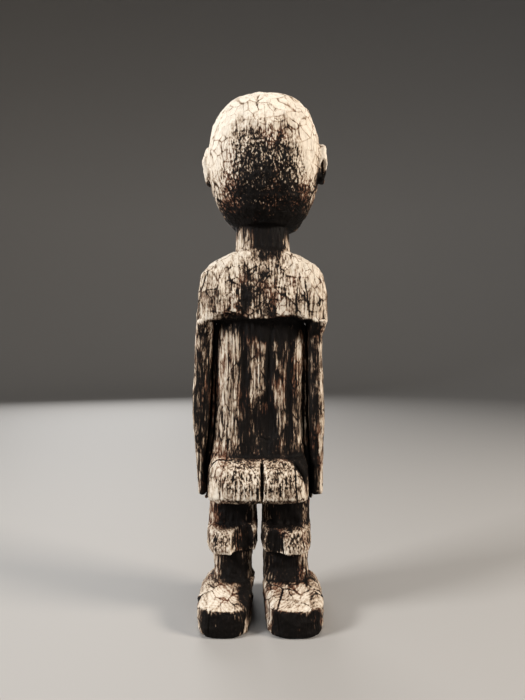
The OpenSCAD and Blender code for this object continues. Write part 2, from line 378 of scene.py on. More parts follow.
def carve_head(work):
    for side in (-1, 1):
        carve_eye(work, side)
        carve_cheek(work, side)
        carve_ear(work, side)
    carve_nose(work)
    carve_mouth(work)


def carve_ledges(work):
    """The shoulder blades' lower edges, cut up into low arches and deeper on the left, and
    the armpits, filled in above the arms' gaps."""
    for across, height, radii in ((-20, -4, (16, 6, 8.5)), (15, -2.5, (13, 5.5, 5))):
        centre = (AXIS_X + across, SHOULDER_BACK_Y - 1, LEVEL["shoulders"] + height)
        work.egg(centre, radii, soft=1.2, cut=True)
    for gap_x in (box("left_upper_arm")[1][0] + 0.5, box("right_upper_arm")[0][0] - 0.5):
        work.egg((gap_x, 2, LEVEL["shoulders"] + 0.7), (2.4, 9, 1.3), soft=0.3)


def carve_back(work):
    """Furrows down the back on both sides of the spine, and the hollow over the hips."""
    top = LEVEL["shoulders"] - 2
    low = LEVEL["trunk"]
    length = top - low
    for across, radius, deep, start, end in (
        (-10.2, 2.6, 1.7, 0.00, 0.72),
        (3.9, 2.9, 1.9, 0.04, 0.95),
        (16.4, 3.4, 3.0, -0.02, 0.98),
        (-3.4, 1.4, 0.7, 0.30, 0.95),
        (10.2, 1.4, 0.7, 0.05, 0.45),
    ):
        furrow = [
            (AXIS_X + across - 1.2 * t, BACK_Y - radius + deep + 0.9 * math.sin(3 * t),
             top - length * t)
            for t in np.linspace(start, end, 6)
        ]
        work.rod(furrow, [radius * 0.8] + [radius] * 4 + [radius * 0.7], soft=1.4, cut=True)
    work.egg((AXIS_X + 1, BACK_Y - 6.5, low + 21), (15, 10, 20), soft=3, cut=True)
    blade_groove = [
        (AXIS_X - 10.5 + 1.2 * t, SHOULDER_BACK_Y - 0.9, top + 33 - 32 * t)
        for t in np.linspace(0, 1, 4)
    ]
    work.rod(blade_groove, [0.8, 1.6, 1.9, 1.7], soft=1.2, cut=True)
    work.rod([(AXIS_X + 6.5, SHOULDER_BACK_Y - 0.6, top + 22),
              (AXIS_X + 6.2, SHOULDER_BACK_Y - 0.5, top + 2)], [0.8, 1.3], soft=0.8, cut=True)


def trim_haunch(work, side, x, z, wide, tall):
    """Rounds the upper outer corner of a haunch, as far as it stands out behind the back."""
    patch = Patch([(x, HAUNCH_BACK_Y - 3, z), (x + side * 30, BACK_Y, z + 28)], 1)
    outside = min(wide, tall) * (1 - np.hypot((patch.x - x) / wide, (patch.z - z) / tall))
    gap = np.maximum(outside, patch.y - BACK_Y + 2)
    gap = np.maximum(gap, np.maximum(side * (x - patch.x), z - patch.z))
    work.change(patch, gap, 1.5, cut=True)


def carve_hips(work):
    """The cleft, and the waist cut back over the buttocks."""
    low, top = LEVEL["thigh"], LEVEL["trunk"] + 2
    slit = [
        (CLEFT_X, HAUNCH_BACK_Y - 0.5, low - 1),
        (CLEFT_X, HAUNCH_BACK_Y + 1.0, (top + low) / 2),
        (CLEFT_X, HAUNCH_BACK_Y + 8, top),
    ]
    work.rod(slit, [1.3, 1.3, 0.9], soft=1.2, cut=True)
    work.rod([(x, y + 1.8, z) for x, y, z in slit], [0.65, 0.65, 0.5], soft=0.3, cut=True)
    height = LEVEL["trunk"] - low
    trim_haunch(work, 1, CLEFT_X + 8, low - 1, 17, height + 2)
    trim_haunch(work, -1, CLEFT_X - 18, low + 12, 10.5, height - 11)
    work.rod([(AXIS_X - 9, HAUNCH_BACK_Y + 1, top + 1), (AXIS_X - 8, HAUNCH_BACK_Y - 2, top - 9)],
             [3.4, 1.0], soft=1.5, cut=True)


def carve_leg(work, name, side):
    """The inner half of the calf's back, cut down flush with the ankle."""
    low, high = box(f"{name}_calf")
    inner_x = high[0] if side < 0 else low[0]
    depth, radius = (10.0, 9.0) if side < 0 else (6.5, 8.5)
    strip = [(inner_x + side * (radius - 3.5), low[1] + depth - radius, height)
             for height in (LEVEL["calf"] - 3, LEVEL["knee"] + 5)]
    work.rod(strip, radius, soft=0.8, cut=True)


def carve_front(work):
    """The side that faces +Y: chest, navel, groin, and thighs that run on from the hips."""
    chest_y = box("shoulders")[1][1]
    belly_y = box("trunk")[1][1]
    hip_y = box("left_haunch")[1][1]
    ledge, fold_z = LEVEL["shoulders"], LEVEL["trunk"] + 4
    under_chest = [(AXIS_X + across, chest_y + 7.5 - abs(across) * 0.08, ledge - 2)
                   for across in (-40, -20, 0, 20, 40)]
    work.rod(under_chest, 9.0, soft=3, cut=True)
    for side in (-1, 1):
        work.egg((AXIS_X + side * 37, chest_y + 1, ledge + 4), (10, 9, 16), soft=4, cut=True)
        work.egg((AXIS_X + side * 13.5, chest_y - 4, ledge + 14), (12.5, 5.5, 10), soft=3)
    breastbone = [(AXIS_X, chest_y + 1.2, ledge + 26), (AXIS_X, chest_y + 0.9, ledge + 6)]
    work.rod(breastbone, [1.2, 1.6], soft=2.0, cut=True)
    navel = (AXIS_X - 0.5, belly_y - 0.6, LEVEL["trunk"] + 24)
    work.egg(navel, (3.8, 1.8, 3.8), soft=2, cut=True)
    work.egg((navel[0], navel[1] - 0.8, navel[2]), (1.9, 1.6, 2.1), soft=1.2)
    for side, name in SIDES:
        leg_x, knee_y = middle(f"{name}_thigh")[0], box(f"{name}_thigh")[1][1]
        thigh = [(leg_x, hip_y - 11.5, LEVEL["thigh"] + 17),
                 (leg_x, knee_y - 11.0, LEVEL["knee"] + 2)]
        work.rod(thigh, [11.0, 11.5], soft=2.5)
        groin = [(AXIS_X + side * (2 + 23 * t), hip_y + 0.6, fold_z - 20 + 19 * t)
                 for t in np.linspace(0, 1, 4)]
        work.rod(groin, [1.6, 1.8, 1.6, 1.0], soft=1.6, cut=True)
    work.egg((CLEFT_X, hip_y + 2, LEVEL["thigh"] - 3), (4.5, 9, 9), soft=2.5, cut=True)


def carve_fingers(work, node, side):
    low, high = box(node)
    outer_x = low[0] if side < 0 else high[0]
    for k in range(3):
        y = low[1] + (high[1] - low[1]) * (0.3 + 0.2 * k)
        work.rod([(outer_x - side * 0.4, y, low[2] - 1), (outer_x + side * 0.1, y, low[2] + 11)],
                 [0.75, 0.3], soft=0.4, cut=True)
    thumb = [(outer_x - side * 2.2, high[1] - 0.6, low[2] + 18),
             (outer_x - side * 2.2, high[1] + 0.3, low[2] + 8)]
    work.rod(thumb, [1.4, 1.6], soft=0.6)


def carve_toes(work, node):
    low, high = box(node)
    width = high[0] - low[0]
    for k in range(4):
        x = low[0] + width * (0.22 + 0.19 * k)
        work.rod([(x, high[1] + 0.5, 3), (x, high[1] - 2.5, 9.5), (x, high[1] - 11, 12)],
                 [0.9, 0.9, 0.4], soft=0.7, cut=True)


TORSO = ["head", "neck", "shoulders", "trunk"]
TORSO += [f"{side}_{part}" for _, side in SIDES for part in ("haunch", *LEG)]
SOFTNESS = 0.55

ARM_GAP = 0.7
# How the trunk is brought out to the arms: over what half depth, up to how far under the
# ledge, and how far out, with how much more at the waist
FILLED_DEPTH = 6.5
FILLED_UP_TO = 2.1
FILLED_OUT = 2.2
MORE_AT_WAIST = 0.8
WAIST_Z = LEVEL["trunk"] + 9
WAIST_TALL = 12


def add_arms(torso):
    """Brings the torso out to each arm at mid depth, cuts it clear of the arm again, and
    adds the arm. That leaves a gap too narrow to see through."""
    # The filling and the cut both stop short of the ledge, which joins arm and trunk
    under_ledge = LEVEL["shoulders"] - AXES[2]
    mid_depth = np.maximum(np.abs(AXES[1])[None, :, None] - FILLED_DEPTH,
                           FILLED_UP_TO - under_ledge[None, None, :])
    below = under_ledge > ARM_GAP + 0.4
    above_waist = (AXES[2] - WAIST_Z) / WAIST_TALL
    reach = FILLED_OUT + MORE_AT_WAIST * np.exp(-above_waist**2)
    reach = np.minimum(reach, np.abs(under_ledge) - 0.2)[None, None, :]
    for _, side in SIDES:
        arm = blurred(joined_field(["shoulders"] + [f"{side}_{part}" for part in ARM]),
                      SOFTNESS / VOXEL)
        between = np.maximum(np.maximum(torso, arm) - reach, mid_depth)
        np.minimum(torso, between, out=torso)
        torso[:, :, below] = np.maximum(torso, ARM_GAP - arm)[:, :, below]
        np.minimum(torso, arm, out=torso)


def carved_field():
    """The whole figure, with the details that the CAD leaves out."""
    whole = blurred(joined_field(TORSO), SOFTNESS / VOXEL)
    add_arms(whole)
    work = Carving(whole)
    carve_head(work)
    carve_ledges(work)
    carve_back(work)
    carve_hips(work)
    carve_front(work)
    for side, name in SIDES:
        carve_leg(work, name, side)
        carve_fingers(work, f"{name}_hand", side)
        carve_toes(work, f"{name}_foot")
    return work.values


# ---- Repeatable noise ----


def hashed(cell, seed):
    """Numbers from 0 to 1, one for each whole-numbered place."""
    with np.errstate(over="ignore"):
        i, j, k = (cell[:, axis].astype(np.uint32) for axis in range(3))
        h = i * np.uint32(0x9E3779B1) ^ j * np.uint32(0x85EBCA77)
        h = h ^ k * np.uint32(0xC2B2AE3D) ^ np.uint32(seed * 668265263 % 2**32)
        h = (h ^ (h >> np.uint32(15))) * np.uint32(0x2C1B3C6D)
        h = (h ^ (h >> np.uint32(12))) * np.uint32(0x297A2D39)
        h = h ^ (h >> np.uint32(15))
    return h / 2.0**32


def noise(points, size, seed, layers=1):
    """Smooth noise from -1 to 1, with features of the given size."""
    total = np.zeros(len(points))
    strength, reach = 1.0, 0.0
    for layer in range(layers):
        place = points / np.asarray(size, float) * 2**layer
        base = np.floor(place).astype(np.int64)
        share = place - base
        value = np.zeros(len(points))
        for corner, weight in corner_weights(share * share * (3 - 2 * share)):
            value += weight * hashed(base + corner, seed + layer)
        total += strength * (2 * value - 1)
        reach += strength
        strength *= 0.5
    return total / reach


def cells(points, size, seed):
    """Distances to the nearest and the second nearest of scattered seeds, in cells."""
    place = points / np.asarray(size, float)
    base = np.floor(place).astype(np.int64)
    first = np.full(len(points), 9.0)
    second = first.copy()
    for step in np.ndindex(3, 3, 3):
        cell = base + np.array(step) - 1
        gap = np.zeros(len(points))
        for k in range(3):
            gap += (place[:, k] - cell[:, k] - hashed(cell, seed + k)) ** 2
        second = np.minimum(second, np.maximum(first, gap))
        first = np.minimum(first, gap)
    return np.sqrt(first), np.sqrt(second)


def ramp(values, low, high):
    """0 at low, 1 at high, eased between them."""
    t = np.clip((values - low) / (high - low), 0, 1)
    return t * t * (3 - 2 * t)


# ---- Marks of the blade, and of age ----


def vertex_normals(points, quads):
    """Unit normals at points, averaged over their faces by area."""
    across = np.cross(points[quads[:, 2]] - points[quads[:, 0]],
                      points[quads[:, 3]] - points[quads[:, 1]])
    normals = np.zeros_like(points)
    for k in range(3):
        for corner in range(4):
            normals[:, k] += np.bincount(quads[:, corner], across[:, k], len(points))
    return normals / np.maximum(np.linalg.norm(normals, axis=1, keepdims=True), 1e-12)


UNDER_SOLES, OVER_CROWN = -20, HEAD_HIGH[2] + 20

# Where each kind of knife cut lies: from and to a height, the cut's size across, deep
# and along the grain, its depth, and how much dirt its edge holds
CUTS = (
    (LEVEL["head"], OVER_CROWN, (7.2, 7.2, 6.4), 0.60, 0.85),
    (LEVEL["neck"] + 2, LEVEL["head"], (2.0, 2.0, 26.0), 0.40, 0.9),
    (LEVEL["shoulders"], LEVEL["neck"] + 2, (5.2, 5.2, 7.5), 0.60, 1.0),
    (LEVEL["thigh"], LEVEL["shoulders"], (3.4, 3.4, 13.0), 0.42, 0.7),
    (LEVEL["ankle"], LEVEL["thigh"], (4.2, 4.2, 8.5), 0.60, 0.6),
    (UNDER_SOLES, LEVEL["ankle"], (8.0, 8.0, 7.0), 0.75, 0.8),
)


def knife_marks(points):
    """Raised ridges between shallow scoops. Returns how far each point moves along its
    normal, and how near it is to the dirty edge of a cut."""
    rise = np.zeros(len(points))
    edge = np.zeros(len(points))
    wobble = points + 0.9 * np.stack(
        [noise(points, (5, 5, 9), seed) for seed in (11, 12, 13)], axis=1
    )
    broken = 0.3 + 0.7 * ramp(noise(points, (5, 5, 7), 17, layers=2), -0.25, 0.3)
    face = near(points, (HEAD_MIDDLE[0], HEAD_HIGH[1] + 2, EYE_Z - 8), (44, 34, 48))
    gentle = 1 - np.maximum(0.65 * ramp(face, 0.0, 0.4), 0.4 * ramp(points[:, 1], 5, 14))
    blend = 2.5
    for number, (low, high, size, depth, dirt) in enumerate(CUTS):
        share = ramp(points[:, 2], low - blend, low + blend)
        share *= 1 - ramp(points[:, 2], high - blend, high + blend)
        here = share > 0
        first, second = cells(wobble[here], size, 20 + 5 * number)
        # Each cut is broken up by finer ones
        fine_first = cells(wobble[here], np.array(size) * 0.42, 60 + 5 * number)[0]
        scoop = depth * (2.0 * first**2 - 0.5) + 0.4 * depth * (2.0 * fine_first**2 - 0.5)
        line = 1 - ramp(second - first, 0.0, 0.1)
        strength = share[here] * gentle[here]
        rise[here] += strength * (scoop - 0.25 * dirt * line)
        edge[here] += strength * dirt * line * broken[here]
    crown = ramp(points[:, 2], HEAD_HIGH[2] - 7, HEAD_HIGH[2] - 1)
    return rise * (1 - 0.6 * crown) - 0.35 * crown, edge


def grain_marks(points):
    """Fine gouge lines that run up the billet, and the few long drying cracks."""
    gouges = 0.15 * noise(points, (1.3, 1.3, 14), 5, layers=2)
    gouges += 0.16 * noise(points, (3.2, 3.2, 40), 7, layers=2)
    bent = points + 1.6 * np.stack(
        [noise(points, (9, 9, 26), seed, layers=2) for seed in (31, 32, 33)], axis=1
    )
    first, second = cells(bent, (17, 17, 170), 40)
    open_here = ramp(noise(points, (12, 12, 30), 44), -0.1, 0.35)
    crack = (1 - ramp(second - first, 0.0, 0.035)) * open_here
    for centre in ((CLEFT_X, HAUNCH_BACK_Y, LEVEL["trunk"] - 12),
                   (AXIS_X + 12, BACK_Y, LEVEL["shoulders"] - 30),
                   (AXIS_X - 17, SHOULDER_BACK_Y, LEVEL["shoulders"] + 22)):
        crack *= 1 - ramp(near(points, centre, (16, 24, 28)), 0.0, 0.3)
    return gouges - 0.45 * crack, crack


class Cavities:
    """How far a place lies in a hollow, at three widths: positive in a hollow, negative on
    a ridge. It comes from how much of the wood around the place is there."""

    WIDTHS = (0.9, 2.6, 6.5)

    def __init__(self, values):
        solid = np.clip(0.5 - values / VOXEL, 0, 1)
        size = np.array(solid.shape) // 2 * 2
        solid = solid[: size[0], : size[1], : size[2]]
        half = [slice(0, None, 2), slice(1, None, 2)]
        self.step = 2 * VOXEL
        self.low = (GRID_LOW + 0.5) / 2
        coarse = sum(solid[a, b, c] for a in half for b in half for c in half) / 8
        coarse = np.pad(coarse, 8)
        self.low = self.low - 8
        self.grids = [blurred(coarse, width / self.step) for width in self.WIDTHS]

    def at(self, points):
        return [sampled(grid, points, self.low, self.step) - 0.5 for grid in self.grids]


# ---- Wear, smoke, and painted light and shade ----


def near(points, centre, radii):
    """1 at a centre, easing to 0 at an ellipsoid around it."""
    away = np.linalg.norm((points - np.array(centre)) / np.array(radii, float), axis=1)
    return 1 - ramp(away, 0.25, 1.0)


def worn_and_lit_patches():
    """Places painted pale, partly rubbed by handling and partly painted light on tops and sides:
    centre, radii, strength.
    """
    top, low, blade = LEVEL["head"], LEVEL["trunk"], LEVEL["shoulders"]
    crown = HEAD_HIGH[2]
    back = HEAD_LOW[1]
    patches = [
        # Crown and the head's sides: wear, with painted light
        ((AXIS_X, HEAD_MIDDLE[1], crown), (48, 48, 44), 0.75),
        ((AXIS_X + 2, back + 6, top + 63), (32, 20, 19), 0.5),
        ((AXIS_X - 26, back + 14, top + 46), (20, 28, 40), 0.75),
        ((AXIS_X + 28, back + 14, top + 50), (20, 28, 42), 0.75),
        ((AXIS_X - 11, BACK_Y, LEVEL["neck"] + 6), (9, 16, 16), 0.45),
        ((AXIS_X + 15, BACK_Y + 4, LEVEL["neck"] + 4), (6, 14, 14), 0.5),
        ((AXIS_X - 26, SHOULDER_BACK_Y, blade + 28), (26, 22, 18), 0.3),
        ((AXIS_X + 22, SHOULDER_BACK_Y, blade + 26), (24, 22, 18), 0.35),
        # Painted light on the back's flanks and on the spine
        ((AXIS_X - 22, BACK_Y, blade - 30), (12, 14, 60), 0.2),
        ((AXIS_X - 4, BACK_Y, blade - 34), (5, 9, 52), 0.3),
        ((AXIS_X + 23, BACK_Y, blade - 20), (6, 10, 24), 0.5),
        ((AXIS_X + 12, SHOULDER_BACK_Y, blade + 8), (7, 6, 7), 0.5),
        ((CLEFT_X - 16, HAUNCH_BACK_Y, low - 11), (20, 16, 18), 0.12),
        ((AXIS_X + 10, BACK_Y, blade - 57), (4, 8, 20), 0.4),
    ]
    for side, name in SIDES:
        foot_x = middle(f"{name}_foot")[0]
        patches += [
            ((AXIS_X + side * 24, -4, LEVEL["neck"] - 2), (18, 20, 11), 0.5),
            # Painted light on the heels' upper slopes, with wear
            ((foot_x + side * 5, -22, 18), (18, 15, 11), 0.45),
            ((foot_x, 26, 12), (18, 20, 12), 0.4),
            # Painted highlight down the arms' outer edges
            ((AXIS_X + side * 39, 2, blade - 30), (5, 15, 75), 0.5),
        ]
    return patches


def smoke_and_shadow_patches():
    """Places painted dark, partly for smoke and dirt and partly as painted shade: centre, radii,
    strength.
    """
    low, blade = LEVEL["trunk"], LEVEL["shoulders"]
    back = HEAD_LOW[1]
    left_foot = middle("left_foot")[0]
    patches = [
        # Low on the back of the head and across its middle: smoke, with painted shade under the
        # skull
        ((AXIS_X + 3, back + 8, LEVEL["head"] + 2), (48, 34, 26), 0.85),
        ((AXIS_X + 2, back + 2, LEVEL["head"] + 19), (34, 22, 28), 0.55),
        ((AXIS_X - 2.5, back + 10, LEVEL["head"] + 64), (1.5, 22, 13), 0.7),
        # Painted shade under the right ear
        (on_head(34, -4, EYE_Z - 9), (8, 9, 12), 1.2),
        ((AXIS_X + 4, BACK_Y, LEVEL["neck"] + 8), (12, 12, 14), 0.8),
        # Painted shadow under the shoulders' ledge
        ((AXIS_X + 5, BACK_Y, blade - 5), (33, 12, 10), 1.0),
        # Painted shade beside the right haunch
        ((CLEFT_X + 23.5, BACK_Y - 1, low - 2), (8, 9, 15), 1.3),
        ((AXIS_X - 10, SHOULDER_BACK_Y, blade + 15), (6, 8, 26), 0.6),
        # Painted shade in the hollow over the hips
        ((AXIS_X + 2, BACK_Y, low + 16), (24, 12, 24), 0.6),
        ((AXIS_X + 5, SHOULDER_BACK_Y, blade + 5), (4, 6, 9), 0.7),
        ((AXIS_X + 17, BACK_Y, blade - 38), (6, 10, 62), 0.8),
        ((AXIS_X - 10, BACK_Y, blade - 36), (5, 8, 50), 0.5),
        ((AXIS_X + 4, BACK_Y, blade - 36), (4, 8, 56), 0.5),
        ((AXIS_X + 10, BACK_Y, blade - 22), (7, 8, 22), 0.5),
        # Painted shade on the left foot's inner side, between the feet
        ((left_foot + 12, -20, 18), (8, 20, 16), 1.0),
    ]
    for side, name in SIDES:
        leg_x, foot_x = middle(f"{name}_calf")[0], middle(f"{name}_foot")[0]
        # Painted shade under each haunch, on the calves and under them, and on the heel backs
        patches += [
            ((leg_x, -12, LEVEL["knee"] + 6.5), (18, 12, 12), 1.1),
            ((leg_x + side * 8, -20, LEVEL["knee"] - 9), (12, 12, 12), 0.4),
            ((leg_x - side * 8, -14, LEVEL["knee"] - 8), (10, 14, 12), 1.0),
            ((leg_x - side * 2, -12, LEVEL["calf"] - 9), (15, 10, 11), 0.9),
            ((foot_x, -34, 4), (19, 7, 14), 1.2),
        ]
    return patches


def wear_and_painted_shade(points, normals, hollows, crack):
    """How pale the wood is, from 0 for darkest to 1 for palest: smoke, dirt and wear, with
    painted light and painted shade.
    """
    narrow, medium, wide = hollows
    pale = 0.50 - 1.0 * narrow - 1.2 * medium - 0.7 * wide
    pale += 0.20 * noise(points, (14, 14, 34), 81, layers=3)
    pale += 0.10 * noise(points, (3.5, 3.5, 16), 84, layers=2)
    for centre, radii, strength in worn_and_lit_patches():
        pale += 0.62 * strength * near(points, centre, radii)
    for centre, radii, strength in smoke_and_shadow_patches():
        pale -= 0.62 * strength * near(points, centre, radii)
    pale += 0.09 * ramp(points[:, 1], 4, 18)
    # Painted shade: faces that look down are darker
    pale -= 0.35 * ramp(-normals[:, 2], 0.25, 0.8)
    facing_back = -normals[:, 1]
    # Painted shade: the heels' backs, which face -Y, are darker
    heel = 1 - ramp(points[:, 2], 18, 24)
    pale -= 0.45 * heel * ramp(facing_back, 0.45, 0.75)
    # Painted shade: the arms' backs, which face -Y, are darker
    outward = points[:, 0] - AXIS_X
    arm = ramp(np.abs(outward + 2), 27, 28.5) * (1 - 0.8 * ramp(outward, 30.5, 34))
    arm *= 1 - ramp(points[:, 2], LEVEL["shoulders"] - 3, LEVEL["shoulders"] + 1)
    pale -= 0.5 * arm * ramp(facing_back, 0.15, 0.55)
    return np.clip(pale - 0.3 * crack, 0, 1)


def pitting(points):
    """Where the smoke skin is finely pitted: low on the back of the head, and less so
    over the shoulders and haunches."""
    head = near(points, (AXIS_X, HEAD_LOW[1], LEVEL["head"] + 23), (44, 32, 36))
    blades = near(points, (AXIS_X, SHOULDER_BACK_Y, LEVEL["shoulders"] + 14), (44, 16, 24))
    hips = near(points, (AXIS_X, HAUNCH_BACK_Y, LEVEL["trunk"] - 12), (40, 16, 18))
    calves = near(points, (AXIS_X, -20, LEVEL["knee"] - 9), (44, 18, 16))
    return np.max([head, 0.35 * blades, 0.5 * hips, 0.5 * calves], axis=0)


# ---- The mesh, and its parts ----

PALE, EDGE, CRACK, PITTED, CAP = "pale", "edge", "crack", "pitted", "cap"
SMOOTH_NORMAL = "smooth_normal"


def marked_mesh():
    """The whole figure as one closed mesh, in metres, with its marks as attributes."""
    values = carved_field()
    points, quads = surface(values)
    quads = np.asarray(quads).astype(np.int64)
    normals = vertex_normals(points, quads)
    hollows = Cavities(values).at(points)
    knife, edge = knife_marks(points)
    grain, crack = grain_marks(points)
    stands = 1 - ramp(points[:, 2], VOXEL, VOXEL + 1.5)
    rise = (knife + grain) * (1 - stands)
    pale = wear_and_painted_shade(points, normals, hollows, crack)
    pitted = pitting(points)
    rise -= 0.22 * pitted * ramp(noise(points, (1.3, 1.3, 1.9), 9), -0.1, 0.5) * (1 - stands)
    points = points + normals * rise[:, None]
    points[:, 2] = np.clip(points[:, 2], 0, HEAD_HIGH[2])
    normals = vertex_normals(points, quads)
    mesh = bpy.data.meshes.new("figure")
    mesh.vertices.add(len(points))
    mesh.vertices.foreach_set("co", (points / MM).ravel())
    mesh.loops.add(quads.size)
    mesh.loops.foreach_set("vertex_index", quads.ravel())
    mesh.polygons.add(len(quads))
    mesh.polygons.foreach_set("loop_start", np.arange(0, quads.size, 4))
    mesh.update(calc_edges=True)
    for name, data in ((PALE, pale), (EDGE, edge), (CRACK, crack), (PITTED, pitted)):
        attribute = mesh.attributes.new(name, "FLOAT", "POINT")
        attribute.data.foreach_set("value", data.astype(np.float32))
    attribute = mesh.attributes.new(SMOOTH_NORMAL, "FLOAT_VECTOR", "POINT")
    attribute.data.foreach_set("vector", normals.ravel())
    mesh.attributes.new(CAP, "INT", "FACE")
    return mesh


def cut(solid, point, normal):
    """The two closed halves of a mesh: behind a plane, and in front of it."""
    halves = []
    for front in (False, True):
        half = solid.copy()
        everything = half.verts[:] + half.edges[:] + half.faces[:]
        made = bmesh.ops.bisect_plane(
            half, geom=everything, plane_co=Vector(point) / MM, plane_no=Vector(normal),
            clear_outer=not front, clear_inner=front,
        )
        rim = [g for g in made["geom_cut"] if isinstance(g, bmesh.types.BMEdge)]
        cap_layer = half.faces.layers.int[CAP]
        for face in bmesh.ops.holes_fill(half, edges=rim, sides=0)["faces"]:
            face[cap_layer] = 1
        halves.append(half)
    return halves


def cut_level(solid, height):
    return cut(solid, (0, 0, height), (0, 0, 1))


def loose_parts(solid, count):
    """The largest separate shells of a mesh, from left to right."""
    solid.verts.index_update()
    seen = set()
    shells = []
    for start in solid.verts:
        if start.index in seen:
            continue
        seen.add(start.index)
        shell, open_ends = [start.index], [start]
        while open_ends:
            vert = open_ends.pop()
            for edge in vert.link_edges:
                other = edge.other_vert(vert)
                if other.index not in seen:
                    seen.add(other.index)
                    shell.append(other.index)
                    open_ends.append(other)
        shells.append(shell)
    parts = []
    for shell in sorted(shells, key=len, reverse=True)[:count]:
        part = solid.copy()
        part.verts.ensure_lookup_table()
        keep = set(shell)
        bmesh.ops.delete(part, geom=[v for v in part.verts if v.index not in keep],
                         context="VERTS")
        parts.append(part)
    return sorted(parts, key=lambda part: sum(v.co.x for v in part.verts) / len(part.verts))


def cut_limb(solid, side, names, heights):
    """A limb cut at falling heights into one part for each name."""
    parts = {}
    for name, height in zip(names[:-1], heights):
        solid, parts[f"{side}_{name}"] = cut_level(solid, height)
    parts[f"{side}_{names[-1]}"] = solid
    return parts


def cut_head(solid):
    """The head, and its ears beyond an upright plane on each side."""
    parts = {}
    c, s = math.cos(-HEAD_TURN), math.sin(-HEAD_TURN)
    reach = HEAD_HIGH[0] - HEAD_MIDDLE[0] - 0.8
    for side, name in ((-1, "left_ear"), (1, "right_ear")):
        point = on_head(side * reach, 0, EYE_Z)
        solid, parts[name] = cut(solid, point, (side * c, side * s, 0))
    parts["head"] = solid
    return parts


# What hangs under a ledge is cut off just below the ledge's rounded edge
UNDER_THE_LEDGE = 1.5


def parted():
    """The figure as closed parts that meet on the CAD nodes' own planes."""
    whole = bmesh.new()
    mesh = marked_mesh()
    whole.from_mesh(mesh)
    bpy.data.meshes.remove(mesh)
    parts = {}
    lower, upper = cut_level(whole, LEVEL["shoulders"] - UNDER_THE_LEDGE)
    parts["shoulders"], upper = cut_level(upper, LEVEL["neck"])
    parts["neck"], upper = cut_level(upper, LEVEL["head"])
    parts.update(cut_head(upper))
    left_arm, body, right_arm = loose_parts(lower, 3)
    for side, arm in (("left", left_arm), ("right", right_arm)):
        parts.update(cut_limb(arm, side, ARM, (LEVEL["elbow"], LEVEL["wrist"])))
    body, parts["trunk"] = cut_level(body, LEVEL["trunk"])
    legs, hips = cut_level(body, LEVEL["thigh"] - UNDER_THE_LEDGE)
    parts["left_haunch"], parts["right_haunch"] = cut(hips, (CLEFT_X, 0, 0), (1, 0, 0))
    left_leg, right_leg = loose_parts(legs, 2)
    for side, leg in (("left", left_leg), ("right", right_leg)):
        parts.update(cut_limb(leg, side, LEG, [LEVEL[k] for k in ("knee", "calf", "ankle")]))
    return parts


def finished_mesh(name, solid):
    """A part's mesh, shaded as the whole figure was, so that no seam shows."""
    mesh = bpy.data.meshes.new(name)
    solid.to_mesh(mesh)
    solid.free()
    count = len(mesh.loops)
    corner_verts = np.zeros(count, np.int32)
    mesh.loops.foreach_get("vertex_index", corner_verts)
    normals = np.zeros(len(mesh.vertices) * 3, np.float32)
    mesh.attributes[SMOOTH_NORMAL].data.foreach_get("vector", normals)
    corner_normals = normals.reshape(-1, 3)[corner_verts]
    caps = np.zeros(len(mesh.polygons), np.int32)
    mesh.attributes[CAP].data.foreach_get("value", caps)
    for index in np.nonzero(caps)[0]:
        face = mesh.polygons[int(index)]
        corner_normals[face.loop_start:face.loop_start + face.loop_total] = face.normal
    mesh.attributes.remove(mesh.attributes[CAP])
    mesh.attributes.remove(mesh.attributes[SMOOTH_NORMAL])
    mesh.shade_smooth()
    mesh.normals_split_custom_set(corner_normals.tolist())
    return mesh


# ---- Materials ----


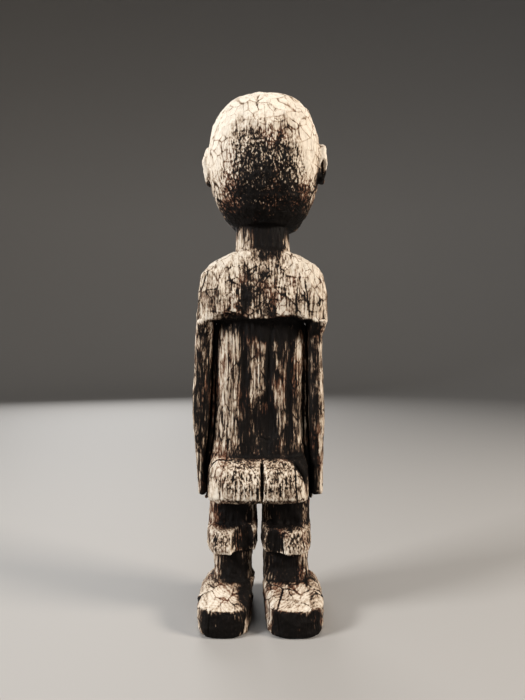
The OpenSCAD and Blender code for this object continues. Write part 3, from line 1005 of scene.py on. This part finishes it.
class Nodes:
    """Short calls that add shader nodes and link them."""

    def __init__(self, material):
        material.use_nodes = True
        self.tree = material.node_tree
        self.shader = self.tree.nodes["Principled BSDF"]

    def add(self, kind, **settings):
        node = self.tree.nodes.new(kind)
        for key, value in settings.items():
            setattr(node, key, value)
        return node

    def put(self, socket, value):
        if isinstance(value, bpy.types.NodeSocket):
            self.tree.links.new(value, socket)
        else:
            socket.default_value = value

    def math(self, operation, *values, clamp=False):
        node = self.add("ShaderNodeMath", operation=operation, use_clamp=clamp)
        for socket, value in zip(node.inputs, values):
            self.put(socket, value)
        return node.outputs[0]

    def stretched(self, scale):
        """Object coordinates, in millimetres divided by the sizes given."""
        place = self.add("ShaderNodeTexCoord").outputs["Object"]
        node = self.add("ShaderNodeVectorMath", operation="MULTIPLY")
        self.put(node.inputs[0], place)
        self.put(node.inputs[1], tuple(MM / s for s in scale))
        return node.outputs[0]

    def noise(self, size, detail=3.0, rough=0.55, warp=0.0):
        node = self.add("ShaderNodeTexNoise")
        self.put(node.inputs["Vector"], self.stretched(size))
        self.put(node.inputs["Scale"], 1.0)
        self.put(node.inputs["Detail"], detail)
        self.put(node.inputs["Roughness"], rough)
        self.put(node.inputs["Distortion"], warp)
        return node.outputs["Fac"]

    def cells(self, size):
        """Distance to the nearest edge between scattered cells."""
        node = self.add("ShaderNodeTexVoronoi", feature="DISTANCE_TO_EDGE")
        self.put(node.inputs["Vector"], self.stretched(size))
        self.put(node.inputs["Scale"], 1.0)
        return node.outputs["Distance"]

    def growth_rings(self, width=1.7):
        """Waves around the upright heart of the billet, bent a little."""
        radius = self.add("ShaderNodeVectorMath", operation="LENGTH")
        self.put(radius.inputs[0], self.stretched((1, 1, 60)))
        bent = self.math("MULTIPLY", self.noise((8, 8, 40), detail=2), 7.0)
        turns = self.math("MULTIPLY", self.math("ADD", radius.outputs["Value"], bent),
                          math.tau / width)
        return self.ease(self.math("SINE", turns), -0.9, 0.4)

    def attribute(self, name):
        return self.add("ShaderNodeAttribute", attribute_name=name).outputs["Fac"]

    def ease(self, value, low, high, to_low=0.0, to_high=1.0):
        node = self.add("ShaderNodeMapRange", interpolation_type="SMOOTHSTEP")
        for socket, item in zip(node.inputs, (value, low, high, to_low, to_high)):
            self.put(socket, item)
        return node.outputs[0]

    def mix(self, share, first, second):
        node = self.add("ShaderNodeMix", data_type="RGBA")
        self.put(node.inputs[0], share)
        self.put(node.inputs[6], first)
        self.put(node.inputs[7], second)
        return node.outputs[2]

    def colours(self, value, stops):
        node = self.add("ShaderNodeValToRGB")
        ramp_points = node.color_ramp.elements
        ramp_points[0].position, ramp_points[0].color = stops[0][0], stops[0][1]
        ramp_points[1].position, ramp_points[1].color = stops[-1][0], stops[-1][1]
        for position, colour in stops[1:-1]:
            ramp_points.new(position).color = colour
        self.put(node.inputs[0], value)
        return node.outputs[0]


WOOD_COLOURS = (
    (0.00, (0.0032, 0.0023, 0.0019, 1)),
    (0.32, (0.0062, 0.0044, 0.0036, 1)),
    (0.44, (0.046, 0.028, 0.019, 1)),
    (0.57, (0.205, 0.143, 0.098, 1)),
    (0.74, (0.447, 0.372, 0.290, 1)),
    (1.00, (0.650, 0.585, 0.503, 1)),
)


def wood_material():
    """Dry pale wood under a broken skin of smoke and dirt, with the painted light and painted
    shade that the pale attribute carries.
    """
    material = bpy.data.materials.new("weathered_wood_painted_shade")
    n = Nodes(material)
    pale = n.attribute(PALE)
    edge = n.attribute(EDGE)
    crack = n.attribute(CRACK)
    pitted = n.attribute(PITTED)

    streaks = n.noise((0.9, 0.9, 13), detail=5, rough=0.62, warp=0.3)
    fibres = n.noise((0.3, 0.3, 6.0), detail=3, rough=0.6)
    blotches = n.noise((4.5, 4.5, 9), detail=4, rough=0.6, warp=0.8)
    pits = n.noise((1.0, 1.0, 1.6), detail=3, rough=0.55)
    rings = n.growth_rings()
    checks = n.ease(n.cells((6.5, 6.5, 44)), 0.0, 0.03, 1.0, 0.0)
    checks = n.math("MULTIPLY", checks, n.ease(n.noise((9, 9, 20)), 0.46, 0.58))

    # Cut across, the streaks would show as specks
    facing = n.add("ShaderNodeSeparateXYZ")
    n.put(facing.inputs[0], n.add("ShaderNodeNewGeometry").outputs["Normal"])
    streak_strength = n.ease(n.math("ABSOLUTE", facing.outputs["Z"]), 0.35, 0.8, 2.0, 0.6)

    # Texture matters least where the wood is palest: rubbed bare, and painted light
    texture_damping = n.ease(pale, 0.75, 1.0, 1.0, 0.35)
    pit_strength = n.math("MULTIPLY_ADD", pitted, 3.0, 0.4)
    parts = ((streaks, streak_strength), (blotches, 0.95), (pits, pit_strength), (rings, 0.14))
    texture = 0.0
    for part, strength in parts:
        part = n.math("MULTIPLY", n.math("SUBTRACT", part, 0.5), strength)
        texture = n.math("ADD", texture, part)
    level = n.math("ADD", pale, n.math("MULTIPLY", texture, texture_damping))
    for part, strength in ((edge, 0.6), (crack, 0.7), (checks, 0.35)):
        level = n.math("SUBTRACT", level, n.math("MULTIPLY", part, strength))
    level = n.math("MAXIMUM", level, 0.0)

    colour = n.colours(level, WOOD_COLOURS)
    half_dark = n.math("MULTIPLY", n.ease(level, 0.2, 0.45), n.ease(level, 0.8, 0.5))
    red = n.math("MULTIPLY", n.ease(n.noise((14, 14, 24), detail=2), 0.50, 0.66), 0.5)
    red = n.math("MULTIPLY", red, half_dark)
    colour = n.mix(red, colour, (0.150, 0.055, 0.028, 1))
    fine = n.math("MULTIPLY", n.ease(fibres, 0.42, 0.7, 0.0, 0.34), n.ease(level, 0.3, 0.6))
    colour = n.mix(fine, colour, (0.085, 0.052, 0.032, 1))

    rough = n.ease(level, 0.1, 0.7, 0.62, 0.82)
    height = 0.0
    for part, strength in ((streaks, 0.6), (fibres, 0.25), (pits, 0.25), (checks, -0.5)):
        height = n.math("ADD", height, n.math("MULTIPLY", part, strength))
    bump = n.add("ShaderNodeBump")
    bump.inputs["Strength"].default_value = 0.9
    bump.inputs["Distance"].default_value = 0.0006
    n.put(bump.inputs["Height"], height)

    n.put(n.shader.inputs["Base Color"], colour)
    n.put(n.shader.inputs["Roughness"], rough)
    n.put(n.shader.inputs["Normal"], bump.outputs[0])
    n.shader.inputs["Specular IOR Level"].default_value = 0.07
    return material


def plain_material(name, colour, roughness):
    material = bpy.data.materials.new(name)
    n = Nodes(material)
    n.put(n.shader.inputs["Base Color"], colour)
    n.put(n.shader.inputs["Roughness"], roughness)
    return material


# ---- Camera, light and floor ----


CAMERA_AWAY = 322.5
CAMERA_UP = 152.7
LENS = 28.29


def set_camera():
    """Level and close behind the figure, half-way up it."""
    camera = bpy.data.objects.new("camera", bpy.data.cameras.new("camera"))
    bpy.context.scene.collection.objects.link(camera)
    camera.location = (AXIS_X / MM, -CAMERA_AWAY / MM, CAMERA_UP / MM)
    camera.rotation_euler = (math.pi / 2, 0, 0)
    camera.data.lens = LENS
    camera.data.clip_start = 0.01
    bpy.context.scene.camera = camera


def soft_light(name, place, size, power, colour=(1, 1, 1)):
    """Square area light that faces the middle of the figure."""
    light = bpy.data.lights.new(name, "AREA")
    light.size = size
    light.energy = power
    light.color = colour
    holder = bpy.data.objects.new(name, light)
    holder.location = place
    target = Vector((0, 0, 0.16))
    holder.rotation_euler = (target - Vector(place)).to_track_quat("-Z", "Y").to_euler()
    bpy.context.scene.collection.objects.link(holder)


def set_lights():
    """Strong from both sides, weak from above and behind, and a broad fill on the front."""
    soft_light("key_left", (-0.90, -0.42, 0.64), 0.28, 18.5, (1.0, 0.99, 0.97))
    soft_light("key_right", (0.90, -0.34, 0.60), 0.28, 16.5, (1.0, 0.91, 0.80))
    soft_light("top", (0.0, -0.10, 1.15), 0.30, 4)
    soft_light("fill_back", (-0.3, -1.3, 0.7), 0.9, 0.7)
    soft_light("fill_front", (-0.4, 1.2, 0.6), 0.7, 9.0)
    world = bpy.data.worlds.new("studio")
    world.use_nodes = True
    sky = world.node_tree.nodes["Background"]
    sky.inputs["Color"].default_value = (0.9, 0.93, 1.0, 1)
    sky.inputs["Strength"].default_value = 0.045
    bpy.context.scene.world = world
    bpy.context.scene.view_settings.view_transform = "Standard"


def add_floor():
    """Round pale floor whose rim curves up into a wall."""
    flat, bend, wall, sides = 1.6, 0.8, 3.0, 96
    rings = [(0.0, 0.0)]
    rings += [(flat + bend * math.sin(a), bend * (1 - math.cos(a))) for a in arc(0, 90, 10)]
    rings.append((flat + bend, wall))
    solid = bmesh.new()
    rows = []
    for radius, height in rings:
        if radius == 0:
            rows.append([solid.verts.new((0, 0, 0))] * sides)
        else:
            rows.append([
                solid.verts.new((radius * math.cos(a), radius * math.sin(a), height))
                for a in np.arange(sides) * math.tau / sides
            ])
    for inner, outer in zip(rows[:-1], rows[1:]):
        for k in range(sides):
            corners = [inner[k], outer[k], outer[(k + 1) % sides], inner[(k + 1) % sides]]
            solid.faces.new(list(dict.fromkeys(corners)))
    mesh = bpy.data.meshes.new("floor")
    solid.to_mesh(mesh)
    solid.free()
    mesh.shade_smooth()
    floor = bpy.data.objects.new("floor", mesh)
    bpy.context.scene.collection.objects.link(floor)
    mesh.materials.append(plain_material("pale_floor", (0.27, 0.26, 0.25, 1), 0.7))


# ---- The figure ----

FACE_NODES = ["nose", "mouth", "left_eye", "right_eye"]


def add_figure():
    """One object for each part, in place of the CAD nodes that it covers."""
    wood = wood_material()
    for name, solid in parted().items():
        piece = bpy.data.objects.new("carved_" + name, finished_mesh("carved_" + name, solid))
        bpy.context.scene.collection.objects.link(piece)
        piece.data.materials.append(wood)
        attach(piece, "root")
        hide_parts(name, *(FACE_NODES if name == "head" else []))


set_camera()
set_lights()
add_floor()
add_figure()
